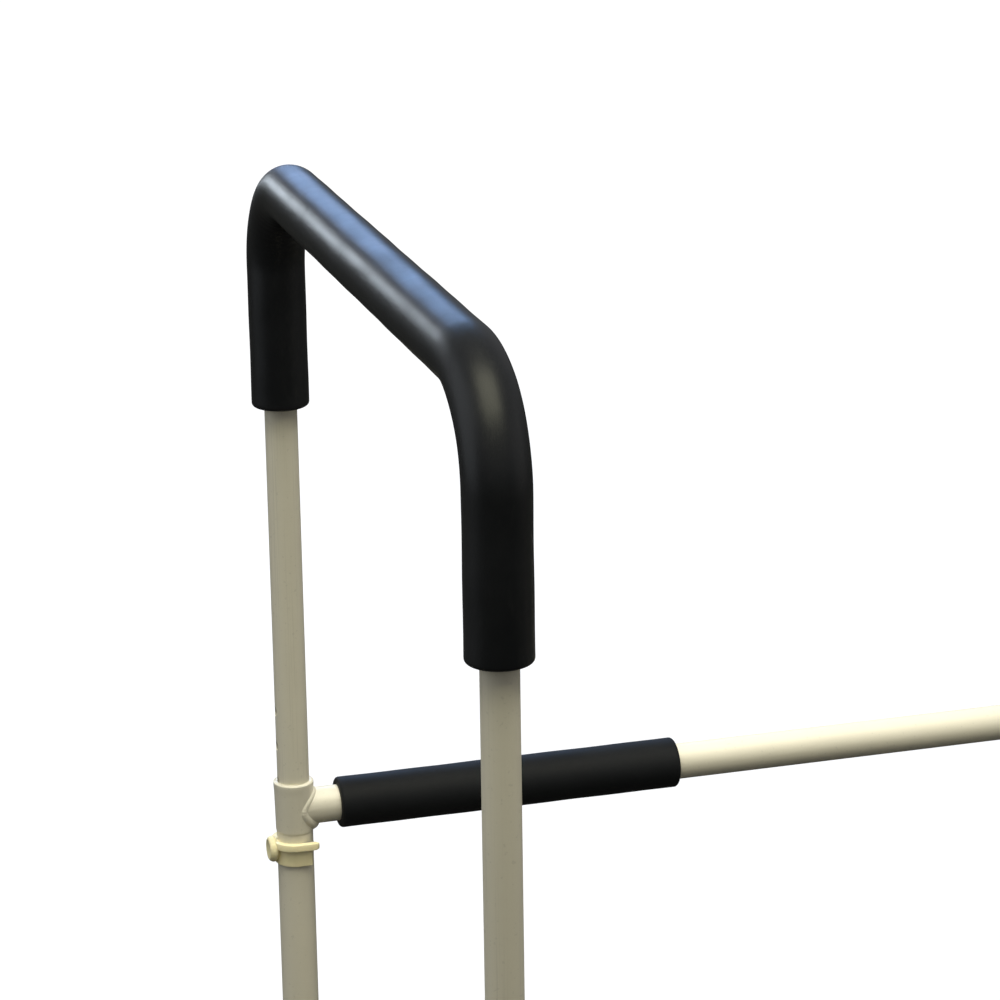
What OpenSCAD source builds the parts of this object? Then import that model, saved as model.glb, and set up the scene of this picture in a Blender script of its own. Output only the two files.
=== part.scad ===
// Bed assist rail: an inverted-U handle that telescopes in two floor-length legs, with foam-sleeved
// crossbars that pass under the mattress to a second pair of legs. X runs along the crossbars from the
// handle to the far side, Y across the handle, Z up from the floor. Sizes in mm.

/* [Handle] */
// Distance between the handle's two leg axes
handle_span = 533.4; // [400:0.1:650]
// Top bar centreline above the crossbar centreline, as set
handle_rise = 448; // [350:1:600]
// Bend radius of the handle tube, at its centreline
handle_bend_r = 61; // [40:1:90]
// How far the handle tube runs down past the crossbar centreline, as set
handle_below = 100; // [90:1:140]
// Outside diameter of the handle tube and of every other sliding tube
inner_od = 22.2; // [19:0.1:25]
// Wall of the sliding tubes
inner_wall = 1.5; // [1:0.1:3]
// Outside diameter of the handle's foam grip
grip_od = 38.8; // [30:0.1:50]
// Height of the grip's lower ends above the crossbar centreline
grip_end = 292; // [150:1:400]
// Rounding of the foam's ends
foam_round = 5; // [1:0.5:8]

/* [Frame] */
// Height of the crossbar centreline above the floor
bar_height = 430; // [350:1:500]
// Distance between the handle side's leg axes and the far side's, as set
bed_width = 990; // [900:1:1100]
// Outside diameter of the legs and crossbars
outer_od = 25.4; // [22:0.1:32]
// Radial gap between a sliding tube and the tube around it
slide_gap = 0.09; // [0.05:0.01:0.1]
// How far each leg stands above its crossbar's centreline
leg_above = 21; // [15:0.5:40]
// Lower end of the leg tubes below the crossbar centreline
leg_below = 335; // [300:1:360]
// Length of the outer crossbar from the leg's axis
bar_length = 640; // [560:1:700]
// Length of the sliding crossbar from the far leg's axis
slide_length = 650; // [500:1:750]
// Outside diameter of the stretcher between two legs
stretcher_od = 19; // [15:0.5:25]
// Height of the stretchers above the floor
stretcher_height = 150; // [120:1:250]
// Foam sleeve on the crossbar: start and end from the leg's axis
sleeve_from = 31; // [25:1:60]
// Far end of the crossbar's foam sleeve
sleeve_to = 279; // [150:1:400]
// Outside diameter of the crossbar's foam sleeve
sleeve_od = 35.6; // [30:0.1:45]

/* [Adjustment] */
// Spacing of the handle's height holes
handle_pitch = 25.4; // [15:0.1:30]
// Height of the clip pin above the crossbar centreline (below is negative)
pin_height = -28.8; // [-40:0.1:-25]
// Holes in the handle above the pin, as set
handle_holes_up = 4; // [1:1:5]
// Holes in the handle below the pin, as set
handle_holes_down = 2; // [1:1:4]
// Diameter of the height holes
hole_d = 6.8; // [5:0.1:9]
// Spacing of the foot holes
foot_pitch = 12.7; // [10:0.1:25.4]
// Spacing of the crossbar's width holes
width_pitch = 50.8; // [25.4:0.1:60]
// Distance of the width button from the handle side's leg axis, as set
width_button = 500; // [450:1:560]
// Distance of the foot button below the crossbar centreline, as set
foot_button = 256; // [240:1:300]

/* [Clips and buttons] */
// Diameter of the clip's pin
pin_d = 6.2; // [4:0.1:8]
// Thickness of the clip's band
clip_wall = 1.8; // [1.4:0.1:4]
// Height of the clip's band
clip_height = 17; // [10:0.5:25]
// Diameter of the snap buttons
button_d = 6.2; // [4:0.1:8]
// How far a snap button stands out of the outer tube
button_proud = 2.4; // [1:0.1:4]

/* [Feet] */
// Diameter of the rubber foot at the floor
foot_d = 42; // [30:1:60]
// Height of the rubber foot
foot_height = 46; // [35:1:60]

/* [Hidden] */
$fn = 96;
eps = 0.01;
ro = outer_od / 2;
ri = inner_od / 2;
bore = ri + slide_gap;
inner_bore = ri - inner_wall;
half = handle_span / 2;
x0 = -bed_width / 2;
x1 = bed_width / 2;
zb = bar_height;
pin_z = zb + pin_height;
foot_z = zb - foot_button;
hole_r = hole_d / 2;
button_r = button_d / 2;
ext_top = zb - 240;
boss_x = ro + 6.8;
clip_low = -10.2;
tip = ro + button_proud;
cream = [0.80, 0.77, 0.66];
cream_plastic = [0.86, 0.81, 0.62];
black_foam = [0.05, 0.05, 0.055];
black_rubber = [0.10, 0.10, 0.10];
black_plastic = [0.12, 0.12, 0.12];
steel = [0.66, 0.67, 0.68];

// Corners 1 to 4: handle side near and far, then far side near and far
function corner_x(i) = i < 3 ? x0 : x1;
function corner_y(i) = i % 2 == 1 ? -half : half;
function outward(i) = i < 3 ? 180 : 0;

// ---- shared shapes ----

module ring(r_out, r_in, h) {
  rotate_extrude() translate([r_in, 0]) square([r_out - r_in, h]);
}

// A hole through one wall of an upright tube, on its +X side
module side_hole(r, reach) {
  rotate([0, 90, 0]) cylinder(r = r, h = reach);
}

// Section of a foam sleeve on a tube, rounded where the foam ends at z = 0 and z = h
module sleeve(r_out, r_in, h) {
  rotate_extrude() difference() {
    translate([r_in, 0]) square([r_out - r_in, h]);
    for (z = [0, h], m = z == 0 ? 1 : -1)
      translate([r_out - foam_round, z + m * foam_round]) difference() {
        translate([0, m > 0 ? -foam_round - 1 : 0]) square([foam_round + 1, foam_round + 1]);
        circle(r = foam_round);
      }
  }
}

// ---- handle ----

module u_sweep(r_out, r_in, low) {
  rise = zb + handle_rise - handle_bend_r;
  for (s = [-1, 1]) {
    translate([x0, s * half, low]) ring(r_out, r_in, rise - low);
    translate([x0, s * (half - handle_bend_r), rise]) rotate([90, 0, 90]) rotate([0, 0, s < 0 ? 90 : 0])
      rotate_extrude(angle = 90) translate([handle_bend_r, 0]) difference() {
        circle(r = r_out);
        circle(r = r_in);
      }
  }
  translate([x0, -half + handle_bend_r, rise + handle_bend_r]) rotate([-90, 0, 0])
    ring(r_out, r_in, handle_span - 2 * handle_bend_r);
}

module handle_tube() color(cream) difference() {
  u_sweep(ri, inner_bore, zb - handle_below);
  for (s = [-1, 1], k = [-handle_holes_down:handle_holes_up])
    translate([x0, s * half, pin_z + k * handle_pitch]) rotate([0, 0, 180]) side_hole(hole_r, ri + 2);
}

module handle_grip() color(black_foam) {
  u_sweep(grip_od / 2, ri, zb + grip_end + foam_round);
  for (s = [-1, 1]) translate([x0, s * half, zb + grip_end]) intersection() {
    sleeve(grip_od / 2, ri, 4 * foam_round);
    cylinder(r = grip_od, h = foam_round);
  }
}

module handle_plug(s) color(black_plastic) translate([x0, s * half, zb - handle_below - 3]) {
  cylinder(r = ri - 0.3, h = 3);
  cylinder(r = inner_bore, h = 15);
}

// ---- locking clips ----

// A C-shaped band around the leg, open to +X, with a finger knob on -X that carries the pin
module clip(s) color(cream_plastic) translate([x0, s * half, pin_z]) {
  rc = ro + 0.1;
  difference() {
    union() {
      translate([0, 0, clip_low]) clip_band(rc + clip_wall, clip_height, 8);
      translate([0, 0, clip_low + clip_height - 4]) clip_band(rc + clip_wall + 2.4, 4, ro - 0.5);
      translate([-boss_x, 0, 0]) rotate([0, 90, 0]) cylinder(r = 6.4, h = boss_x);
      translate([-boss_x, 0, 0]) rotate([0, 90, 0]) rotate_extrude()
        polygon([[0, 0], [6, 0], [8.6, 1.4], [9.4, 3.4], [8.6, 5.4], [6.4, 6.2], [0, 6.2]]);
    }
    translate([0, 0, -30]) cylinder(r = rc, h = 60);
    translate([0, -rc, -30]) cube([40, 2 * rc, 60]);
    translate([-boss_x + 2, 0, 0]) side_hole(pin_d / 2, 20);
  }
}

// Band of outer radius r and height h, whose two arms run straight on to x = reach
module clip_band(r, h, reach) {
  difference() {
    union() {
      cylinder(r = r, h = h);
      translate([0, -r, 0]) cube([reach, 2 * r, h]);
    }
    translate([reach, -2 * r, -1]) cube([4 * r, 4 * r, h + 2]);
  }
}

module clip_pin(s) color(steel) translate([x0, s * half, pin_z]) rotate([0, -90, 0])
  translate([0, 0, inner_bore - 2.5]) {
    translate([0, 0, 1]) cylinder(r = pin_d / 2, h = boss_x - inner_bore - 0.5);
    cylinder(r1 = pin_d / 2 - 1, r2 = pin_d / 2, h = 1);
  }

// ---- legs, tees and crossbars ----

module leg_tube(i) color(cream) translate([corner_x(i), corner_y(i), 0]) difference() {
  translate([0, 0, zb - leg_below]) ring(ro, bore, leg_below + leg_above);
  if (i < 3) translate([0, 0, pin_z]) rotate([0, 0, 180]) side_hole(hole_r, ro + 2);
  for (k = [-4:2]) translate([0, 0, foot_z + k * foot_pitch]) rotate([0, 0, outward(i)])
    side_hole(button_r + 0.2, ro + 2);
}

// Reinforcing sleeve over the leg's top, with the weld around the crossbar
module tee(i) color(cream) {
  r = ro + 1;
  translate([corner_x(i), corner_y(i), 0]) {
    difference() {
      union() {
        translate([0, 0, zb - 14]) ring(r, ro, 14 + leg_above - 2);
        translate([0, 0, zb + leg_above - 2]) ring(r + 0.4, ro, 2);
        translate([0, 0, zb - 16]) rotate_extrude() polygon([[ro, 0], [ro + 0.3, 0], [r, 2], [ro, 2]]);
      }
      translate([0, 0, zb]) rotate([0, i < 3 ? 90 : -90, 0]) cylinder(r = ro, h = 40);
    }
    translate([0, 0, zb]) rotate([0, i < 3 ? 90 : -90, 0]) difference() {
      rotate_extrude() polygon([[ro, 9], [ro + 4.6, 9], [ro + 4, 13.4], [ro + 1.6, 16.6], [ro, 18]]);
      rotate([0, 90, 0]) translate([0, 0, -40]) cylinder(r = r, h = 80);
    }
  }
}

// Turns a part made along Z, with its button towards +X, to lie along the crossbar with the button outwards
module facing(s) rotate([s * 90, 0, 0]) rotate([0, 90, 0]) children();

module crossbar(s) color(cream) translate([x0, s * half, zb]) difference() {
  rotate([0, 90, 0]) ring(ro, bore, bar_length);
  translate([0, 0, -40]) cylinder(r = ro, h = 80);
  for (k = [-4:2]) translate([width_button + k * width_pitch, 0, 0]) facing(s)
    side_hole(button_r + 0.2, ro + 2);
}

module crossbar_sleeve(s) color(black_foam) translate([x0 + sleeve_from, s * half, zb]) rotate([0, 90, 0])
  sleeve(sleeve_od / 2, ro, sleeve_to - sleeve_from);

// Plastic bushing pushed over the mouth of a tube; its lip guides the sliding tube
module bush() {
  ring(ro + 2.2, ro, 20);
  translate([0, 0, -3]) ring(ro + 2.2, bore, 3);
}

module crossbar_bush(s) color(black_plastic) translate([x0 + bar_length, s * half, zb]) rotate([0, -90, 0]) bush();

module leg_bush(i) color(black_plastic) translate([corner_x(i), corner_y(i), zb - leg_below]) bush();

module slide_bar(s) color(cream) translate([x1, s * half, zb]) difference() {
  rotate([0, -90, 0]) ring(ri, inner_bore, slide_length);
  translate([0, 0, -40]) cylinder(r = ro, h = 80);
  translate([width_button - bed_width, 0, 0]) facing(s) side_hole(button_r + 0.2, ri + 2);
}

module stretcher(x) color(cream) translate([x, 0, stretcher_height]) difference() {
  rotate([90, 0, 0]) translate([0, 0, -half]) ring(stretcher_od / 2, stretcher_od / 2 - 1.5, handle_span);
  for (s = [-1, 1]) translate([0, s * half, -40]) cylinder(r = ro, h = 80);
}

// Domed cap on the far side's leg tops
module rear_cap(s) color(black_plastic) translate([x1, s * half, zb + leg_above]) {
  translate([0, 0, -12]) cylinder(r = bore, h = 12);
  intersection() {
    cylinder(r = ro + 1.4, h = 8);
    translate([0, 0, -18]) sphere(r = 26);
  }
}

// ---- feet ----

module foot_tube(i) color(cream) translate([corner_x(i), corner_y(i), 0]) difference() {
  translate([0, 0, 6]) ring(ri, inner_bore, ext_top - 6);
  translate([0, 0, foot_z]) rotate([0, 0, outward(i)]) side_hole(button_r + 0.2, ri + 2);
}

module foot(i) color(black_rubber) translate([corner_x(i), corner_y(i), 0]) difference() {
  union() {
    rotate_extrude() polygon([[0, 0], [foot_d / 2 - 1.5, 0], [foot_d / 2, 1.5], [foot_d / 2, 7], [foot_d / 2 - 1.5, 10],
      [ri + 5, 17], [ri + 3.4, 24], [ri + 3.4, foot_height - 1.2], [ri + 2.2, foot_height], [0, foot_height]]);
    for (z = [26, 33]) translate([0, 0, z]) ring(ri + 4.4, ri + 1, 3);
  }
  translate([0, 0, 6]) cylinder(r = ri, h = foot_height);
  translate([0, 0, -1]) ring(13, 10, 2.5);
}

// ---- snap buttons: each rides on a leaf spring inside the sliding tube ----

module button_pin() rotate([0, 90, 0]) {
  translate([0, 0, 5.8]) cylinder(r = button_r, h = tip - 5.8 - 1.2);
  translate([0, 0, tip - 1.2]) cylinder(r1 = button_r, r2 = button_r - 1.2, h = 1.2);
}

module button_leaf() {
  translate([5, -3.5, -22]) cube([0.8, 7, 30]);
  translate([3.4, -3.5, -22]) cube([1.6, 7, 0.8]);
}

module foot_button(i) color(steel) translate([corner_x(i), corner_y(i), foot_z]) rotate([0, 0, outward(i)]) button_pin();

module foot_leaf(i) color(steel) translate([corner_x(i), corner_y(i), foot_z]) rotate([0, 0, outward(i)]) button_leaf();

module width_button(s) color(steel) translate([x0 + width_button, s * half, zb]) facing(s) button_pin();

module width_leaf(s) color(steel) translate([x0 + width_button, s * half, zb]) facing(s) button_leaf();

// ---- nodes ----

handle_tube();
handle_grip();
handle_plug(-1);  // handle_plug_near
handle_plug(1);  // handle_plug_far
clip(-1);  // clip_near
clip(1);  // clip_far
clip_pin(-1);  // clip_pin_near
clip_pin(1);  // clip_pin_far
leg_tube(1);  // front_leg_near
leg_tube(2);  // front_leg_far
tee(1);  // front_tee_near
tee(2);  // front_tee_far
crossbar(-1);  // crossbar_near
crossbar(1);  // crossbar_far
crossbar_sleeve(-1);  // crossbar_sleeve_near
crossbar_sleeve(1);  // crossbar_sleeve_far
crossbar_bush(-1);  // crossbar_bush_near
crossbar_bush(1);  // crossbar_bush_far
stretcher(x0);  // front_stretcher
slide_bar(-1);  // slide_bar_near
slide_bar(1);  // slide_bar_far
leg_tube(3);  // rear_leg_near
leg_tube(4);  // rear_leg_far
tee(3);  // rear_tee_near
tee(4);  // rear_tee_far
rear_cap(-1);  // rear_cap_near
rear_cap(1);  // rear_cap_far
stretcher(x1);  // rear_stretcher
leg_bush(1);  // leg_bush_1
leg_bush(2);  // leg_bush_2
leg_bush(3);  // leg_bush_3
leg_bush(4);  // leg_bush_4
foot_tube(1);  // foot_tube_1
foot_tube(2);  // foot_tube_2
foot_tube(3);  // foot_tube_3
foot_tube(4);  // foot_tube_4
foot(1);  // foot_1
foot(2);  // foot_2
foot(3);  // foot_3
foot(4);  // foot_4
foot_button(1);  // foot_button_1
foot_button(2);  // foot_button_2
foot_button(3);  // foot_button_3
foot_button(4);  // foot_button_4
foot_leaf(1);  // foot_leaf_1
foot_leaf(2);  // foot_leaf_2
foot_leaf(3);  // foot_leaf_3
foot_leaf(4);  // foot_leaf_4
width_button(-1);  // width_button_near
width_button(1);  // width_button_far
width_leaf(-1);  // width_leaf_near
width_leaf(1);  // width_leaf_far
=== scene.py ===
"""Looks for the bed assist rail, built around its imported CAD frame. Everything is in metres."""

import math

import bmesh
import bpy
from mathutils import Matrix, Vector


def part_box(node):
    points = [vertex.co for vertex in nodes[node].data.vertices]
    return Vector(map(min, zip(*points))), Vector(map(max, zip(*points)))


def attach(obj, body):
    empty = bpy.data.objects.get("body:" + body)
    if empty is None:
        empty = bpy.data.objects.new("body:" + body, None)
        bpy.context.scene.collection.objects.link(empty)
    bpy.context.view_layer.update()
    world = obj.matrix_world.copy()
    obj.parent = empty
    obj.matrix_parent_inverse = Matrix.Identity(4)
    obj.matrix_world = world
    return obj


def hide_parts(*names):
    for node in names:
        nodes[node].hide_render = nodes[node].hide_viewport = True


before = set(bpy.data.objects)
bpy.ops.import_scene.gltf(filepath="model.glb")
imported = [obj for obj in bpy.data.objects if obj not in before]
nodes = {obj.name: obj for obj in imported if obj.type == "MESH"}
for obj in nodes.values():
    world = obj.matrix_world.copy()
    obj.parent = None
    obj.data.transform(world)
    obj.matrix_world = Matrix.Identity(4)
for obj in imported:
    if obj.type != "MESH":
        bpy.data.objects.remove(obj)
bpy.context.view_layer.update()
scene = bpy.context.scene

# ---------------------------------------------------------------- sizes read from the frame


def mid(node):
    """Middle of a CAD node's box."""
    low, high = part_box(node)
    return (low + high) / 2


def span(node, axis):
    """Lowest and highest coordinate of a CAD node along one axis."""
    low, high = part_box(node)
    return low[axis], high[axis]


def half_width(node, axis):
    """Half a CAD node's size along one axis, which is its radius if it is round."""
    low, high = span(node, axis)
    return (high - low) / 2


SIDES = {"near": -1, "far": 1}
LEG_X = mid("front_leg_far").x
REAR_X = mid("rear_leg_far").x
HALF = mid("front_leg_far").y
BAR_Z = mid("slide_bar_far").z
PIN_Z = mid("clip_pin_far").z
R_OUT = half_width("front_leg_far", 1)
R_IN = half_width("foot_tube_1", 1)
LEG_TOP = span("front_leg_far", 2)[1]
# each corner: x, y, which way along X is outward, its body, and the names of its end and side
CORNERS = {
    1: (LEG_X, -HALF, -1, "frame", "front", "near"),
    2: (LEG_X, HALF, -1, "frame", "front", "far"),
    3: (REAR_X, -HALF, 1, "far_frame", "rear", "near"),
    4: (REAR_X, HALF, 1, "far_frame", "rear", "far"),
}

# ---------------------------------------------------------------- camera

# from the point between the handle side's two tees
CAM_OFFSET = Vector((-0.50106, -2.04442, 0.96063))
AZIMUTH, ELEVATION, ROLL = (math.radians(a) for a in (-15.79, 17.37, -0.88))
LENS = 131.12
SENSOR = 36


def make_camera():
    """A long lens that looks down past the near leg to the far joint."""
    forward = Vector(
        (
            -math.sin(AZIMUTH) * math.cos(ELEVATION),
            math.cos(AZIMUTH) * math.cos(ELEVATION),
            -math.sin(ELEVATION),
        )
    )
    right = forward.cross(Vector((0, 0, 1))).normalized()
    up = right.cross(forward)
    right_r = right * math.cos(ROLL) + up * math.sin(ROLL)
    up_r = up * math.cos(ROLL) - right * math.sin(ROLL)
    data = bpy.data.cameras.new("camera")
    data.lens = LENS
    data.sensor_width = SENSOR
    data.clip_start, data.clip_end = 0.05, 200
    camera = bpy.data.objects.new("camera", data)
    scene.collection.objects.link(camera)
    turn = Matrix((right_r, up_r, -forward)).transposed()
    camera.matrix_world = (
        Matrix.Translation(Vector((LEG_X, 0, BAR_Z)) + CAM_OFFSET) @ turn.to_4x4()
    )
    scene.camera = camera


make_camera()

# ---------------------------------------------------------------- materials


class Graph:
    """A short way to write a node graph."""

    def __init__(self, name):
        self.material = bpy.data.materials.new(name)
        self.material.use_nodes = True
        self.tree = self.material.node_tree
        self.shader = self.tree.nodes["Principled BSDF"]
        self.place = self.add("ShaderNodeTexCoord").outputs["Object"]

    def add(self, kind, inputs=None, **settings):
        node = self.tree.nodes.new(kind)
        for key, value in settings.items():
            setattr(node, key, value)
        for key, value in (inputs or {}).items():
            self.join(value, node.inputs[key])
        return node

    def join(self, value, socket):
        if isinstance(value, bpy.types.NodeSocket):
            self.tree.links.new(value, socket)
        else:
            socket.default_value = value

    def set(self, **values):
        for key, value in values.items():
            self.join(value, self.shader.inputs[key.replace("_", " ")])

    def stretched(self, scale):
        """Coordinates scaled by axis, for streaks along the axis with the smallest number."""
        return self.add(
            "ShaderNodeMapping", {"Vector": self.place, "Scale": scale}
        ).outputs["Vector"]

    def noise(self, scale, detail, rough, vector=None):
        return self.add(
            "ShaderNodeTexNoise",
            {
                "Vector": vector or self.place,
                "Scale": scale,
                "Detail": detail,
                "Roughness": rough,
            },
        ).outputs["Fac"]

    def cells(self, scale):
        return self.add("ShaderNodeTexVoronoi", {"Vector": self.place, "Scale": scale}).outputs["Distance"]

    def remap(self, value, low, high, to_low, to_high):
        return self.add(
            "ShaderNodeMapRange",
            {
                "Value": value,
                "From Min": low,
                "From Max": high,
                "To Min": to_low,
                "To Max": to_high,
            },
        ).outputs["Result"]

    def math(self, operation, a, b):
        node = self.tree.nodes.new("ShaderNodeMath")
        node.operation = operation
        self.join(a, node.inputs[0])
        self.join(b, node.inputs[1])
        return node.outputs[0]

    def mix(self, factor, a, b):
        node = self.tree.nodes.new("ShaderNodeMix")
        node.data_type = "RGBA"
        for socket, value in zip((0, 6, 7), (factor, a, b), strict=True):
            self.join(
                (*value, 1) if isinstance(value, tuple) else value, node.inputs[socket]
            )
        return node.outputs[2]

    def bump(self, *layers):
        """Each layer is (height, strength, distance in metres)."""
        normal = None
        for height, strength, distance in layers:
            inputs = {"Height": height, "Strength": strength, "Distance": distance}
            if normal is not None:
                inputs["Normal"] = normal
            normal = self.add("ShaderNodeBump", inputs).outputs["Normal"]
        self.set(Normal=normal)


CREAM = (0.75, 0.70, 0.545)


def powder_coat(name, rubbed=0.0):
    """Cream powder coat: fine orange peel, slight mottling, and faint rub marks on a sliding tube."""
    g = Graph(name)
    mottle = g.noise(9, 4, 0.6)
    peel = g.noise(700, 2, 0.45)
    fine = g.noise(2600, 2, 0.5)
    specks = g.remap(g.noise(420, 1, 0.3), 0.70, 0.76, 0.0, 0.35)
    colour = g.mix(
        g.remap(mottle, 0.35, 0.65, 0.0, 1.0), CREAM, tuple(c * 0.95 for c in CREAM)
    )
    colour = g.mix(specks, colour, tuple(c * 0.72 for c in CREAM))
    rough = g.remap(mottle, 0.3, 0.7, 0.36, 0.44)
    if rubbed:
        streaks = g.noise(1, 3, 0.6, g.stretched((900, 900, 7)))
        lines = g.remap(streaks, 0.57, 0.72, 0.0, rubbed)
        colour = g.mix(lines, colour, tuple(c * 0.74 for c in CREAM))
        rough = g.math("ADD", rough, g.math("MULTIPLY", lines, 0.25))
    g.set(Base_Color=colour, Roughness=rough)
    g.shader.inputs["Coat Weight"].default_value = 0.26
    g.shader.inputs["Coat Roughness"].default_value = 0.25
    g.bump((peel, 0.30, 0.0002), (fine, 0.12, 0.00006))
    return g.material


def foam_skin(name, rough, shine, tooth):
    """Closed-cell foam: near black, with fine pores darkened by painted shade, and faint scuffs. tooth is
    the grain's depth.
    """
    g = Graph(name)
    slow = g.noise(22, 4, 0.6)
    grain = g.noise(1500, 3, 0.6)
    pores = g.cells(1100)
    scuffs = g.remap(
        g.noise(1, 4, 0.65, g.stretched((160, 160, 40))), 0.58, 0.78, 0.0, 0.5
    )
    colour = g.mix(
        g.remap(slow, 0.35, 0.65, 0.0, 1.0), (0.0034, 0.0040, 0.0048), (0.0058, 0.0064, 0.0072)
    )
    colour = g.mix(scuffs, colour, (0.011, 0.011, 0.011))
    # painted shade: the colour darkens towards the middle of each pore, as shade in the pit
    colour = g.mix(g.remap(pores, 0.0, 0.22, 0.6, 0.0), colour, (0.0015, 0.0015, 0.0015))
    rough = g.math(
        "ADD", g.remap(slow, 0.3, 0.7, *rough), g.math("MULTIPLY", scuffs, 0.12)
    )
    g.set(Base_Color=colour, Roughness=rough)
    g.shader.inputs["Specular IOR Level"].default_value = shine
    g.bump(
        (slow, 0.25, 0.0008),
        (grain, 0.30, tooth),
        (g.remap(pores, 0.0, 0.3, 0.0, 1.0), 0.22, 0.0001),
    )
    return g.material


def moulded_plastic(name, base, rough, grain, scatter=0.0):
    """Moulded plastic: a faint spark-eroded texture and slow colour drift. scatter lets light in."""
    g = Graph(name)
    drift = g.noise(60, 3, 0.5)
    spark = g.noise(3200, 2, 0.6)
    colour = g.mix(
        g.remap(drift, 0.35, 0.65, 0.0, 1.0), base, tuple(c * 0.9 for c in base)
    )
    g.set(Base_Color=colour, Roughness=g.remap(drift, 0.3, 0.7, rough - 0.04, rough + 0.05))
    if scatter:
        g.shader.inputs["Subsurface Weight"].default_value = scatter
        g.shader.inputs["Subsurface Radius"].default_value = (0.0016, 0.0013, 0.0007)
        g.shader.inputs["Subsurface Scale"].default_value = 1.0
    g.bump((spark, grain, 0.00008))
    return g.material


def foot_rubber():
    """Moulded rubber: matt, and dusty towards the floor."""
    g = Graph("foot_rubber")
    mottle = g.noise(45, 4, 0.6)
    grain = g.noise(1800, 2, 0.6)
    height = g.add("ShaderNodeSeparateXYZ", {"Vector": g.place}).outputs["Z"]
    dust = g.math(
        "MULTIPLY",
        g.remap(height, 0.0, 0.02, 0.6, 0.05),
        g.remap(g.noise(160, 4, 0.65), 0.35, 0.7, 0.0, 1.0),
    )
    colour = g.mix(mottle, (0.020, 0.020, 0.020), (0.034, 0.033, 0.032))
    colour = g.mix(dust, colour, (0.16, 0.15, 0.135))
    g.set(Base_Color=colour, Roughness=g.remap(mottle, 0.3, 0.7, 0.62, 0.78))
    g.bump((grain, 0.25, 0.00012))
    return g.material


def zinc_steel():
    """Zinc-plated steel with fine drawn lines and a slightly uneven gloss."""
    g = Graph("zinc_steel")
    cloud = g.noise(260, 3, 0.6)
    lines = g.noise(1, 2, 0.5, g.stretched((4000, 4000, 300)))
    colour = g.mix(cloud, (0.60, 0.60, 0.61), (0.72, 0.71, 0.69))
    rough = g.math("ADD", g.remap(cloud, 0.3, 0.7, 0.22, 0.32), g.math("MULTIPLY", lines, 0.1))
    g.set(Base_Color=colour, Roughness=rough, Metallic=1.0)
    g.bump((lines, 0.08, 0.00004))
    return g.material


M_COAT = powder_coat("powder_coat")
M_SLIDE = powder_coat("powder_coat_sliding", rubbed=0.45)
M_FOAM = foam_skin("foam_skin", rough=(0.34, 0.42), shine=0.42, tooth=0.00012)
M_SLEEVE = foam_skin("foam_sleeve", rough=(0.56, 0.66), shine=0.30, tooth=0.0003)
M_CLIP = moulded_plastic("clip_plastic", (0.92, 0.82, 0.49), rough=0.34, grain=0.10, scatter=0.12)
M_BLACK = moulded_plastic("black_plastic", (0.022, 0.022, 0.023), rough=0.42, grain=0.22)
M_RUBBER = foot_rubber()
M_STEEL = zinc_steel()

# ---------------------------------------------------------------- mesh helpers


def finish_mesh(name, bm, material, body, replaced=(), sharp=38):
    """Makes a piece that rides on body, smooth-shaded except at edges over sharp degrees."""
    bmesh.ops.recalc_face_normals(bm, faces=bm.faces)
    mesh = bpy.data.meshes.new(name)
    bm.to_mesh(mesh)
    bm.free()
    mesh.shade_smooth()
    mesh.set_sharp_from_angle(angle=math.radians(sharp))
    mesh.materials.append(material)
    obj = bpy.data.objects.new(name, mesh)
    scene.collection.objects.link(obj)
    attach(obj, body)
    if replaced:
        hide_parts(*replaced)
    return obj


def frame_of(at, axis):
    """Matrix that puts local Z along axis, at a point."""
    return Matrix.Translation(at) @ Vector(axis).to_track_quat("Z", "Y").to_matrix().to_4x4()


def loft(bm, rings, closed=False):
    """Joins rings of points, each a closed loop of the same count, into walls."""
    made = [[bm.verts.new(p) for p in ring] for ring in rings]
    count = len(made[0])
    pairs = list(zip(made, made[1:], strict=False)) + ([(made[-1], made[0])] if closed else [])
    for low, high in pairs:
        for i in range(count):
            j = (i + 1) % count
            bm.faces.new((low[i], low[j], high[j], high[i]))
    return made


def lathe(bm, profile, place, steps=96):
    """Turns a profile of (radius, height) about local Z. A radius of 0 closes the end."""
    first = last = None
    rings = []
    for r, z in profile:
        if r == 0:
            if not rings:
                first = bm.verts.new(place @ Vector((0, 0, z)))
            else:
                last = bm.verts.new(place @ Vector((0, 0, z)))
            continue
        rings.append(
            [
                place @ Vector((r * math.cos(a), r * math.sin(a), z))
                for a in (2 * math.pi * i / steps for i in range(steps))
            ]
        )
    made = loft(bm, rings, closed=first is None and last is None)
    for tip, ring in ((first, made[0]), (last, made[-1])):
        if tip is not None:
            for i in range(steps):
                bm.faces.new((tip, ring[i], ring[(i + 1) % steps]))


def rounded(points, radii, steps):
    """Rounds the corners of a closed outline, each by its own radius."""
    out, count = [], len(points)
    for i, r in enumerate(radii):
        p = Vector(points[i])
        a, b = Vector(points[i - 1]) - p, Vector(points[(i + 1) % count]) - p
        if r == 0:
            out.append(tuple(p))
            continue
        half = a.angle(b) / 2
        cut = min(r / math.tan(half), a.length * 0.48, b.length * 0.48)
        start, end = p + a.normalized() * cut, p + b.normalized() * cut
        for k in range(steps + 1):
            t = k / steps
            out.append(tuple((1 - t) ** 2 * start + 2 * t * (1 - t) * p + t * t * end))
    return out


# ---------------------------------------------------------------- foam grip and sleeves

GRIP_R = half_width("handle_grip", 0)
GRIP_LOW, GRIP_TOP = span("handle_grip", 2)
TOP_Z = GRIP_TOP - GRIP_R
BEND_R = 0.061
SLEEVE_R = half_width("crossbar_sleeve_far", 2)
FOAM_ROUND = 0.0024  # rounding of a foam tube's ends
FOAM_FIT = 0.00002  # gap between a foam tube and the tube in it
FOAM_STEPS = 72
FOAM_WAVE = 0.00013  # slow unevenness of the foam's skin
FOAM_FOLD = 0.00022  # ripples inside a bend
FOAM_STRETCH = 0.0002  # thinning outside a bend


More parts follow.
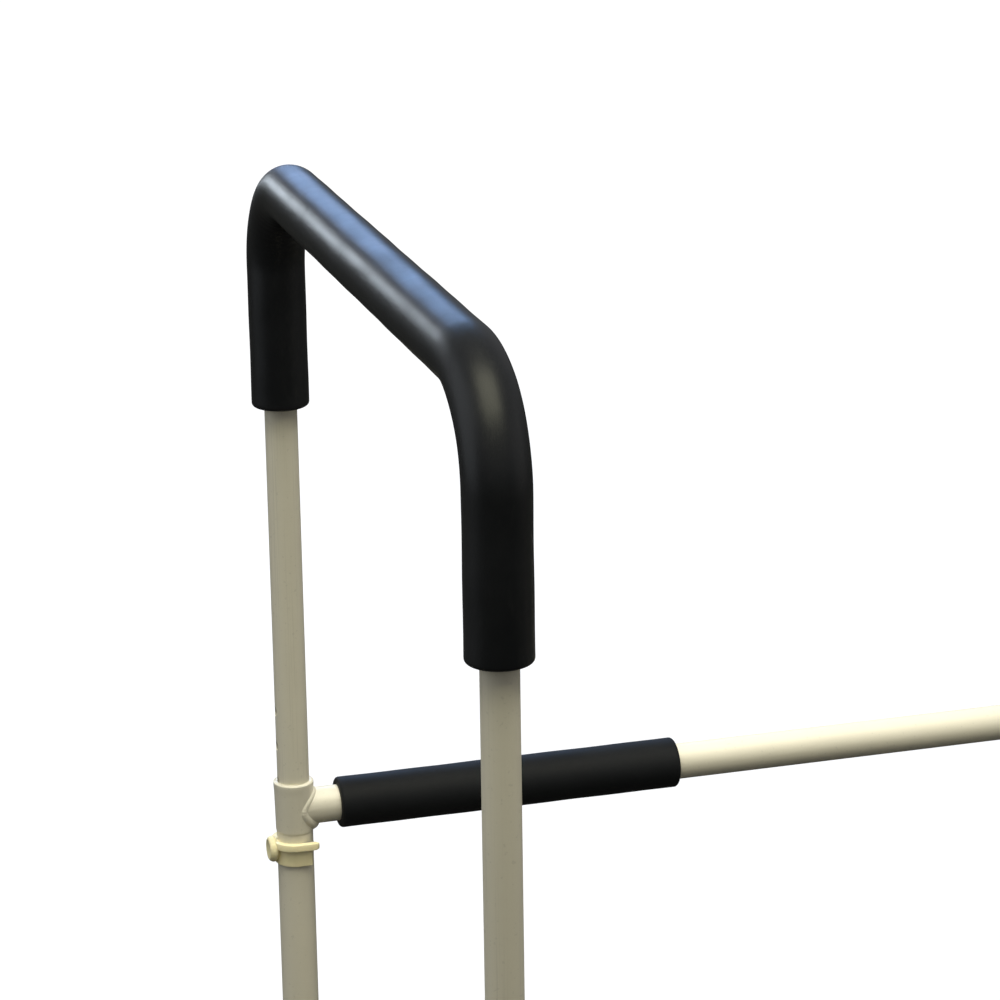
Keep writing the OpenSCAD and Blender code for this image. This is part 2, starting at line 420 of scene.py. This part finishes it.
def grip_path(step):
    """The grip's centreline as (distance, point, direction, how much it bends there)."""
    straight = TOP_Z - BEND_R - GRIP_LOW
    arc = math.pi / 2 * BEND_R
    across = 2 * (HALF - BEND_R)
    total = 2 * (straight + arc) + across

    def near_half(s):
        if s <= straight:
            return Vector((LEG_X, -HALF, GRIP_LOW + s)), Vector((0, 0, 1)), 0.0
        turned = s - straight
        if turned <= arc:
            a = turned / BEND_R
            centre = Vector((LEG_X, -HALF + BEND_R, TOP_Z - BEND_R))
            out = Vector((0, -math.cos(a), math.sin(a)))
            return centre + out * BEND_R, Vector((0, math.sin(a), math.cos(a))), math.sin(2 * a)
        return Vector((LEG_X, -HALF + BEND_R + turned - arc, TOP_Z)), Vector((0, 1, 0)), 0.0

    count = round(total / step)
    for i in range(count + 1):
        s = total * i / count
        if s <= total / 2:
            yield s, *near_half(s)
        else:
            # the far half is the near half's mirror image, run the other way
            point, along, bend = near_half(total - s)
            yield s, Vector((point.x, -point.y, point.z)), Vector((0, along.y, -along.z)), bend


def foam_radius(radius, s, total, around, bend, seed):
    """Outer radius of a foam tube: rounded ends, slow waves, and shallow folds inside a bend."""
    edge = min(s, total - s)
    r = radius
    if edge < FOAM_ROUND:
        r -= FOAM_ROUND - math.sqrt(max(0.0, FOAM_ROUND**2 - (FOAM_ROUND - edge) ** 2))
    r += FOAM_WAVE * math.sin(s * 83 + seed + 2 * math.sin(around)) * math.sin(s * 37 + around + seed)
    if bend > 0:
        inner = max(0.0, math.cos(around)) ** 2
        r += bend * inner * FOAM_FOLD * math.sin(s * 900 + 0.6 * math.sin(2 * around))
        r -= bend * max(0.0, -math.cos(around)) * FOAM_STRETCH
    return r


def foam_tube(name, body, node, path, radius, bore, seed, material):
    """Closed foam tube along a path of (distance, point, direction, bend)."""
    points = list(path)
    start, end = points[0], points[-1]
    total = end[0]
    stops = [FOAM_ROUND * (1 - math.cos(math.pi / 2 * k / 8)) for k in range(9)]
    lead = [(s, start[1] + start[2] * s, start[2], 0.0) for s in stops]
    tail = [(total - s, end[1] - end[2] * s, end[2], 0.0) for s in reversed(stops)]
    margin = FOAM_ROUND * 1.2
    middle = [p for p in points if margin < p[0] < total - margin]
    side = Vector((1, 0, 0)) if abs(start[2].x) < 0.5 else Vector((0, 1, 0))
    opening = Vector((LEG_X, 0, TOP_Z - 0.2))  # a point in the handle's opening
    outer, inner = [], []
    for s, point, along, bend in lead + middle + tail:
        level = along.cross(side).normalized()
        # inward points to the inside of a bend
        inward = -level if bend > 0 and level.dot(opening - point) < 0 else level
        ring, core = [], []
        for i in range(FOAM_STEPS):
            a = 2 * math.pi * i / FOAM_STEPS
            ray = level * math.cos(a) + side * math.sin(a)
            around = math.atan2(ray.dot(side), ray.dot(inward))
            ring.append(point + ray * foam_radius(radius, s, total, around, bend, seed))
            core.append(point + ray * bore)
        outer.append(ring)
        inner.append(core)
    bm = bmesh.new()
    loft(bm, outer + inner[::-1], closed=True)
    finish_mesh(name, bm, material, body, [node], sharp=50)


foam_tube(
    "grip_foam", "handle", "handle_grip", grip_path(0.0022), GRIP_R, R_IN + FOAM_FIT, 0.4, M_FOAM
)


def sleeve_path(side, step=0.003):
    """The crossbar sleeve's centreline, in grip_path's form."""
    low, high = span("crossbar_sleeve_" + side, 0)
    count = round((high - low) / step)
    for i in range(count + 1):
        s = (high - low) * i / count
        yield s, Vector((low + s, SIDES[side] * HALF, BAR_Z)), Vector((1, 0, 0)), 0.0


for side_name, wave_seed in (("near", 1.7), ("far", 4.1)):
    foam_tube(
        "sleeve_foam_" + side_name,
        "frame",
        "crossbar_sleeve_" + side_name,
        sleeve_path(side_name),
        SLEEVE_R,
        R_OUT + FOAM_FIT,
        wave_seed,
        M_SLEEVE,
    )

# ---------------------------------------------------------------- tees and welds

SLEEVE_WALL = 0.001
TEE_BEAD, TEE_RIPPLES = 0.0034, 52
STRETCHER_BEAD, STRETCHER_RIPPLES = 0.0032, 40


def saddle(bm, at, axis, branch, main, bead, ripples):
    """Weld fillet where a tube of radius branch, along axis, meets an upright of radius main."""
    place = frame_of(at, axis)
    up = place.to_3x3().inverted() @ Vector((0, 0, 1))
    along = Vector((0, 0, 1))
    steps, cross = 320, 10
    rings = []
    for i in range(steps):
        a = 2 * math.pi * i / steps
        ray = Vector((math.cos(a), math.sin(a), 0))
        off = (ray - up * ray.dot(up)) * branch
        reach = math.sqrt(max(0.0, main**2 - off.length_squared))
        foot = ray * branch + along * reach
        normal = (off + along * reach) / main
        skin = (ray - normal * ray.dot(normal)).normalized()
        # flat grows at the branch's sides, where the two skins meet at a wide angle
        flat = max(0.0, -skin.dot(along))
        out = (normal + ray).normalized()
        # uneven ripples on a bead that is thickest underneath
        phase = ripples * a + 0.7 * math.sin(3 * a) + 0.4 * math.sin(7 * a)
        size = bead * (1 - 0.25 * ray.dot(up)) * (1 - 0.20 * flat)
        size *= 1 + 0.03 * math.sin(2 * a + 1) - 0.03 * abs(math.cos(phase / 2))
        hump = 0.10 + 0.24 * flat + 0.05 * abs(math.sin(phase / 2))
        ring = []
        for k in range(cross + 1):
            t = k / cross
            lift = hump * math.sin(math.pi * t) - 0.05 - 0.20 * flat * (1 - t) ** 2
            ring.append(place @ (foot + size * (skin * (1 - t) + along * t + out * lift)))
        ring.append(place @ (foot - out * size * 0.35))
        rings.append(ring)
    loft(bm, rings, closed=True)


def tee(corner):
    """Reinforcing sleeve with a rolled rim over the leg's top, and the weld round the crossbar."""
    x, y, out, body, end, side = CORNERS[corner]
    node = f"{end}_tee_{side}"
    low = span(node, 2)[0]
    r = R_OUT + SLEEVE_WALL
    top = LEG_TOP
    inner = R_IN + 0.0001
    profile = rounded(
        [
            (R_OUT - 0.0001, low),
            (R_OUT + 0.00012, low),
            (R_OUT + 0.00045, low + 0.0016),
            (r, top - 0.0075),
            (r + 0.0003, top - 0.0030),
            (r + 0.0003, top - 0.0007),
            (R_OUT - 0.0002, top + 0.0001),
            (inner, top - 0.0006),
            (inner, top - 0.0040),
            (R_OUT - 0.0001, top - 0.0045),
        ],
        [0, 0.0002, 0.001, 0.002, 0.0008, 0.0005, 0.0004, 0.0004, 0, 0],
        4,
    )
    bm = bmesh.new()
    lathe(bm, profile, Matrix.Translation((x, y, 0)))
    finish_mesh(f"tee_{corner}", bm, M_COAT, body, [node])
    bm = bmesh.new()
    at = Vector((x, y, BAR_Z))
    saddle(bm, at, (-out, 0, 0), R_OUT, r - 0.0003, TEE_BEAD, TEE_RIPPLES)
    finish_mesh(f"tee_weld_{corner}", bm, M_COAT, body)


def stretcher_weld(corner):
    """Weld where a stretcher meets a leg."""
    x, y, _, body, end, _ = CORNERS[corner]
    node = end + "_stretcher"
    at = Vector((x, y, mid(node).z))
    bm = bmesh.new()
    saddle(
        bm, at, (0, -1 if y > 0 else 1, 0), half_width(node, 0), R_OUT, STRETCHER_BEAD, STRETCHER_RIPPLES
    )
    finish_mesh(f"stretcher_weld_{corner}", bm, M_COAT, body)


for corner_number in CORNERS:
    tee(corner_number)
for corner_number in CORNERS:
    stretcher_weld(corner_number)

# ---------------------------------------------------------------- locking clips

CLIP_FRONT = span("clip_far", 0)[0]
CLIP_LOW = span("clip_far", 2)[0]
CLIP_BAND = 0.017  # the band's height, without the knob
CLIP_TOP = CLIP_LOW + CLIP_BAND
CLIP_BORE = R_OUT + 0.00012
BAND_STEPS = 48
KNOB_RIBS = 24
KNOB_RIM = 0.0078  # the ribs are outside this radius


def band_outline(radius, reach):
    """One edge of the C, from the tip of the +Y arm round -X to the tip of the -Y arm."""
    points = [(reach, radius), (reach * 0.5, radius)]
    for i in range(BAND_STEPS + 1):
        a = math.pi / 2 + math.pi * i / BAND_STEPS
        points.append((radius * math.cos(a), radius * math.sin(a)))
    return points + [(reach * 0.5, -radius), (reach, -radius)]


def c_ring(bm, origin, sections):
    """C-shaped wall: sections are (height, outer radius, arm reach), bottom to top."""
    rings = []
    for z, radius, reach in sections:
        outer = band_outline(radius, reach)
        core = band_outline(CLIP_BORE, reach)
        tip = 0.45 * (radius - CLIP_BORE)
        loop = [
            *[Vector((px, py, z)) + origin for px, py in outer],
            Vector((reach + tip, -(radius + CLIP_BORE) / 2, z)) + origin,
            *[Vector((px, py, z)) + origin for px, py in core[::-1]],
            Vector((reach + tip, (radius + CLIP_BORE) / 2, z)) + origin,
        ]
        rings.append(loop)
    made = loft(bm, rings)
    for ring in (made[0], made[-1]):
        count = len(ring)
        for i in range(count // 2 - 1):
            bm.faces.new((ring[i], ring[i + 1], ring[count - 2 - i], ring[count - 1 - i]))


def clip(side):
    """Locking clip: a C band with a flange round its top, and a finger knob over the pin."""
    origin = Vector((LEG_X, SIDES[side] * HALF, 0))
    wall, lip = 0.0018, 0.0042
    low, top = CLIP_LOW, CLIP_TOP
    bm = bmesh.new()
    soft = 0.0005
    c_ring(
        bm,
        origin,
        [
            (low, CLIP_BORE + wall - soft, 0.0076),
            (low + soft, CLIP_BORE + wall, 0.0082),
            (low + 0.0105, CLIP_BORE + wall, 0.0086),
            (top - 0.0058, CLIP_BORE + wall + 0.0001, 0.0092),
            (top - 0.0053, CLIP_BORE + wall + 0.0006, 0.0100),
            (top - 0.0050, CLIP_BORE + lip - 0.0006, 0.0110),
            (top - 0.0045, CLIP_BORE + lip, 0.0118),
            (top - 0.0038, CLIP_BORE + lip, 0.0120),
            (top - 0.0007, CLIP_BORE + lip - 0.0001, 0.0120),
            (top - 0.0002, CLIP_BORE + lip - 0.0003, 0.0118),
            (top, CLIP_BORE + lip - 0.0007, 0.0115),
        ],
    )
    finish_mesh(f"clip_band_{side}", bm, M_CLIP, f"clip_{side}_body", [f"clip_{side}"], sharp=40)
    # finger knob with a dished face and a ribbed rim
    reach = LEG_X - CLIP_FRONT
    bm = bmesh.new()
    profile = [
        (0, reach - 0.0012),
        (0.0030, reach - 0.0011),
        (0.0052, reach - 0.0006),
        (0.0064, reach - 0.0001),
        (0.0072, reach),
        (0.0082, reach - 0.0006),
        (0.0089, reach - 0.0018),
        (0.0092, reach - 0.0032),
        (0.0089, reach - 0.0046),
        (0.0080, reach - 0.0056),
        (0.0068, reach - 0.0061),
        (0.0062, reach - 0.0068),
        (0.0062, R_OUT + 0.0016),
        (0.0070, R_OUT + 0.0004),
        (0, R_OUT + 0.0003),
    ]
    lathe(bm, profile, frame_of(origin + Vector((0, 0, PIN_Z)), (-1, 0, 0)), 72)
    for vert in bm.verts:
        local = vert.co - origin - Vector((0, 0, PIN_Z))
        radial = math.hypot(local.y, local.z)
        if radial > KNOB_RIM:
            angle = math.atan2(local.z, local.y)
            grow = 1 - 0.02 * (0.5 + 0.5 * math.cos(KNOB_RIBS * angle))
            vert.co = origin + Vector((local.x, local.y * grow, PIN_Z + local.z * grow))
    finish_mesh(f"clip_knob_{side}", bm, M_CLIP, f"clip_{side}_body", sharp=50)


for side_name in SIDES:
    clip(side_name)

# ---------------------------------------------------------------- bushings, caps, feet, buttons

BUSH_RIBS = 32
BUSH_RIBS_FROM, BUSH_RIBS_TO = 0.0045, 0.0150
FOOT_GROOVES = 36
FOOT_GROOVES_FROM, FOOT_GROOVES_TO = 0.0012, 0.0085


def bushing(node, at, axis, body):
    """Guide bushing: a lip inside the mouth, a ribbed skirt over the outer tube."""
    bore, r = R_IN + 0.00009, R_OUT
    profile = rounded(
        [
            (bore, -0.003),
            (r + 0.0016, -0.003),
            (r + 0.0022, -0.0018),
            (r + 0.0022, 0.0035),
            (r + 0.0016, 0.0040),
            (r + 0.0016, 0.0052),
            (r + 0.0016, 0.0143),
            (r + 0.0016, 0.0155),
            (r + 0.0022, 0.0160),
            (r + 0.0022, 0.0192),
            (r + 0.0014, 0.0200),
            (r, 0.0200),
            (r, 0.0),
            (bore, 0.0),
        ],
        [0.0004, 0.0005, 0.0005, 0.0003, 0, 0, 0.0003, 0.0004, 0.0004, 0.0004, 0.0001, 0, 0, 0],
        3,
    )
    bm = bmesh.new()
    place = frame_of(at, axis)
    lathe(bm, profile, place, 192)
    inverse = place.inverted()
    for vert in bm.verts:
        local = inverse @ vert.co
        radial = math.hypot(local.x, local.y)
        if radial > r + 0.0014 and BUSH_RIBS_FROM < local.z < BUSH_RIBS_TO:
            angle = math.atan2(local.y, local.x)
            grow = 1 + 0.0005 / radial * max(0.0, math.cos(BUSH_RIBS * angle))
            vert.co = place @ Vector((local.x * grow, local.y * grow, local.z))
    finish_mesh(node + "_ribbed", bm, M_BLACK, body, [node])


def cap(side):
    """Domed cap in the top of a far-side leg."""
    node = "rear_cap_" + side
    top = LEG_TOP
    profile = [
        (0, top - 0.012),
        (R_IN - 0.0002, top - 0.012),
        (R_IN, top - 0.0115),
        (R_IN, top + 0.0001),
        (R_OUT + 0.0012, top + 0.0002),
        (R_OUT + 0.0014, top + 0.0006),
        (R_OUT + 0.0013, top + 0.0018),
        (R_OUT + 0.0006, top + 0.0032),
        (R_OUT - 0.0010, top + 0.0048),
        (R_OUT - 0.0035, top + 0.0062),
        (R_OUT - 0.0070, top + 0.0073),
        (0.0030, top + 0.0079),
        (0, top + 0.0080),
    ]
    bm = bmesh.new()
    lathe(bm, profile, Matrix.Translation((REAR_X, SIDES[side] * HALF, 0)))
    finish_mesh(node + "_domed", bm, M_BLACK, "far_frame", [node], sharp=45)


def foot(corner):
    """Rubber ferrule: flared base with a tread, a ringed neck and a rolled lip."""
    x, y = CORNERS[corner][:2]
    node = f"foot_{corner}"
    top = span(node, 2)[1]
    base = 0.0210
    neck = R_IN + 0.0034
    profile = [
        (0, 0.0022),
        (0.0095, 0.0022),
        (0.0100, 0.0018),
        (0.0104, 0.0003),
        (0.0110, 0.0),
        (base - 0.0016, 0.0),
        (base - 0.0006, 0.0004),
        (base, 0.0015),
        (base, 0.0066),
        (base - 0.0003, 0.0080),
        (base - 0.0012, 0.0094),
        (base - 0.0030, 0.0114),
        (R_IN + 0.0056, 0.0150),
        (R_IN + 0.0045, 0.0185),
        (neck, 0.0230),
    ]
    for z in (0.0262, 0.0332):
        profile += [
            (neck, z - 0.0006),
            (neck + 0.0006, z - 0.0001),
            (neck + 0.0010, z + 0.0006),
            (neck + 0.0010, z + 0.0022),
            (neck + 0.0006, z + 0.0029),
            (neck, z + 0.0034),
        ]
    profile += [
        (neck, top - 0.0036),
        (neck + 0.0006, top - 0.0028),
        (neck + 0.0009, top - 0.0016),
        (neck + 0.0005, top - 0.0005),
        (neck - 0.0004, top),
        (R_IN + 0.0010, top - 0.0002),
        (R_IN + 0.0001, top - 0.0011),
        (R_IN + 0.0001, 0.0060),
        (0, 0.0060),
    ]
    bm = bmesh.new()
    lathe(bm, profile, Matrix.Translation((x, y, 0)), 216)
    # fine upright grooves round the base
    for vert in bm.verts:
        local = vert.co - Vector((x, y, 0))
        radial = math.hypot(local.x, local.y)
        if radial > base - 0.0008 and FOOT_GROOVES_FROM < local.z < FOOT_GROOVES_TO:
            angle = math.atan2(local.y, local.x)
            grow = 1 - 0.0005 / radial * max(0.0, math.cos(FOOT_GROOVES * angle)) ** 2
            vert.co = Vector((x + local.x * grow, y + local.y * grow, local.z))
    finish_mesh(node + "_ferrule", bm, M_RUBBER, node + "_body", [node], sharp=40)


def button(node, at, axis):
    """Domed snap button with its base at a point inside the tube."""
    low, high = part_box(node)
    extent = high - low
    reach = max(extent)
    r = min(extent) / 2
    profile = [
        (0, 0),
        (r, 0),
        (r, reach - 0.0022),
        (r - 0.00015, reach - 0.0015),
        (r - 0.0006, reach - 0.0008),
        (r - 0.0013, reach - 0.0003),
        (r - 0.0021, reach - 0.00006),
        (0, reach),
    ]
    bm = bmesh.new()
    lathe(bm, profile, frame_of(at, axis), 48)
    finish_mesh(node + "_domed", bm, M_STEEL, node + "_body", [node], sharp=40)


for side_name, sign in SIDES.items():
    bar_mouth = Vector((span("crossbar_" + side_name, 0)[1], sign * HALF, BAR_Z))
    bushing("crossbar_bush_" + side_name, bar_mouth, (-1, 0, 0), "frame")
for corner, (x, y, _, body, end, side) in CORNERS.items():
    leg_mouth = Vector((x, y, span(f"{end}_leg_{side}", 2)[0]))
    bushing(f"leg_bush_{corner}", leg_mouth, (0, 0, 1), body)
for side_name in SIDES:
    cap(side_name)
for corner, (_, y, out, *_) in CORNERS.items():
    foot(corner)
    button_node = f"foot_button_{corner}"
    low_x, high_x = span(button_node, 0)
    inner_x = high_x if out < 0 else low_x
    button(button_node, Vector((inner_x, y, mid(button_node).z)), (out, 0, 0))
for side_name, sign in SIDES.items():
    button_node = "width_button_" + side_name
    inner_y = min(span(button_node, 1), key=abs)
    button(button_node, Vector((mid(button_node).x, inner_y, BAR_Z)), (0, sign, 0))

# ---------------------------------------------------------------- materials on the CAD nodes that show

CAD_LOOK = {
    M_SLIDE: ("handle_tube", "slide_bar_", "foot_tube_"),
    M_COAT: ("front_leg_", "rear_leg_", "crossbar_near", "crossbar_far", "_stretcher"),
    M_STEEL: ("clip_pin_", "_leaf_"),
    M_BLACK: ("handle_plug_",),
}
for name, obj in nodes.items():
    if obj.hide_render:
        continue
    for material, keys in CAD_LOOK.items():
        if any(key in name for key in keys):
            obj.data.materials.clear()
            obj.data.materials.append(material)

# ---------------------------------------------------------------- floor and light

FLOOR_SHADE = (0.30, 0.30, 0.30, 1)
# the floor glows more where the overhead light reaches it less, so it stays an even white
FLOOR_REACH = (0.6, 3.5)
FLOOR_GLOW = (0.60, 0.94)
# the world brightens from low to high between these two slopes of view
HORIZON = (-0.22, 0.30)
WORLD_LOW = (0.055, 0.055, 0.05, 1)
WORLD_HIGH = (0.29, 0.29, 0.30, 1)


def make_floor():
    """A pale floor that takes soft shadows and lights nothing from below."""
    bm = bmesh.new()
    bmesh.ops.create_grid(bm, x_segments=1, y_segments=1, size=60)
    mesh = bpy.data.meshes.new("floor")
    bm.to_mesh(mesh)
    bm.free()
    floor = bpy.data.objects.new("floor", mesh)
    scene.collection.objects.link(floor)
    g = Graph("floor_white")
    g.set(Base_Color=FLOOR_SHADE, Roughness=0.9)
    g.shader.inputs["Emission Color"].default_value = (1, 1, 1, 1)
    away = g.add("ShaderNodeVectorMath", {"Vector": g.place}, operation="LENGTH").outputs["Value"]
    g.set(Emission_Strength=g.remap(away, *FLOOR_REACH, *FLOOR_GLOW))
    mesh.materials.append(g.material)
    floor.visible_diffuse = floor.visible_glossy = False


def area_light(name, at, target, size, power, colour, mirrored=True):
    """Rectangular light aimed at a target. Reflections don't show it unless it is mirrored."""
    data = bpy.data.lights.new(name, "AREA")
    data.shape = "RECTANGLE"
    data.size, data.size_y = size
    data.energy = power
    data.color = colour
    light = bpy.data.objects.new(name, data)
    scene.collection.objects.link(light)
    light.location = at
    light.visible_camera = False
    light.visible_glossy = mirrored
    light.rotation_mode = "QUATERNION"
    light.rotation_quaternion = (Vector(target) - Vector(at)).to_track_quat("-Z", "Y")


def make_lights():
    """One soft light overhead, one in front for the bends, three behind for the grip, two fills."""
    grip_bar = (-0.495, 0, 0.88)
    near_bend = (-0.495, -0.25, 0.87)
    frame_middle = (-0.4, 0, 0.6)
    bed_middle = (-0.3, 0, 0)
    key_colour = (0.99, 0.985, 0.98)
    area_light("key_overhead", (-0.35, 0.05, 3.0), bed_middle, (2.3, 2.3), 94, key_colour, mirrored=False)
    area_light("soft_front", (-0.52, -0.92, 2.62), near_bend, (1.8, 1.3), 25.0, (1.0, 0.98, 0.72))
    area_light("sky_pale", (-0.20, 2.7, 1.63), grip_bar, (1.0, 0.30), 5.4, (0.52, 0.66, 1.0))
    area_light("sky_deep", (-0.08, 2.7, 1.96), grip_bar, (1.25, 0.5), 10.2, (0.22, 0.50, 1.0))
    area_light("strip_behind", (-1.21, 2.6, 1.24), grip_bar, (0.20, 0.52), 7.0, (0.80, 0.90, 1.0))
    area_light("fill_left", (-3.2, 0.5, 1.5), frame_middle, (3.0, 2.8), 17, (0.88, 0.94, 1.0))
    area_light("fill_right", (2.6, -1.2, 1.3), frame_middle, (3.0, 2.4), 5, (1.0, 0.97, 0.95))


def make_world():
    """Bright above the horizon and dim below it. The camera itself sees plain white."""
    world = bpy.data.worlds.new("world")
    world.use_nodes = True
    tree = world.node_tree
    link = tree.links.new
    coord = tree.nodes.new("ShaderNodeTexCoord")
    split = tree.nodes.new("ShaderNodeSeparateXYZ")
    ramp = tree.nodes.new("ShaderNodeMapRange")
    ramp.interpolation_type = "SMOOTHSTEP"
    ramp.inputs["From Min"].default_value, ramp.inputs["From Max"].default_value = HORIZON
    sky = tree.nodes.new("ShaderNodeMix")
    sky.data_type = "RGBA"
    sky.inputs[6].default_value = WORLD_LOW
    sky.inputs[7].default_value = WORLD_HIGH
    seen = tree.nodes.new("ShaderNodeMix")
    seen.data_type = "RGBA"
    seen.inputs[7].default_value = (1, 1, 1, 1)
    path = tree.nodes.new("ShaderNodeLightPath")
    background = tree.nodes["Background"]
    link(coord.outputs["Generated"], split.inputs[0])
    link(split.outputs["Z"], ramp.inputs["Value"])
    link(ramp.outputs[0], sky.inputs[0])
    link(sky.outputs[2], seen.inputs[6])
    link(path.outputs["Is Camera Ray"], seen.inputs[0])
    link(seen.outputs[2], background.inputs["Color"])
    scene.world = world


make_floor()
make_lights()
make_world()
scene.view_settings.view_transform = "Standard"
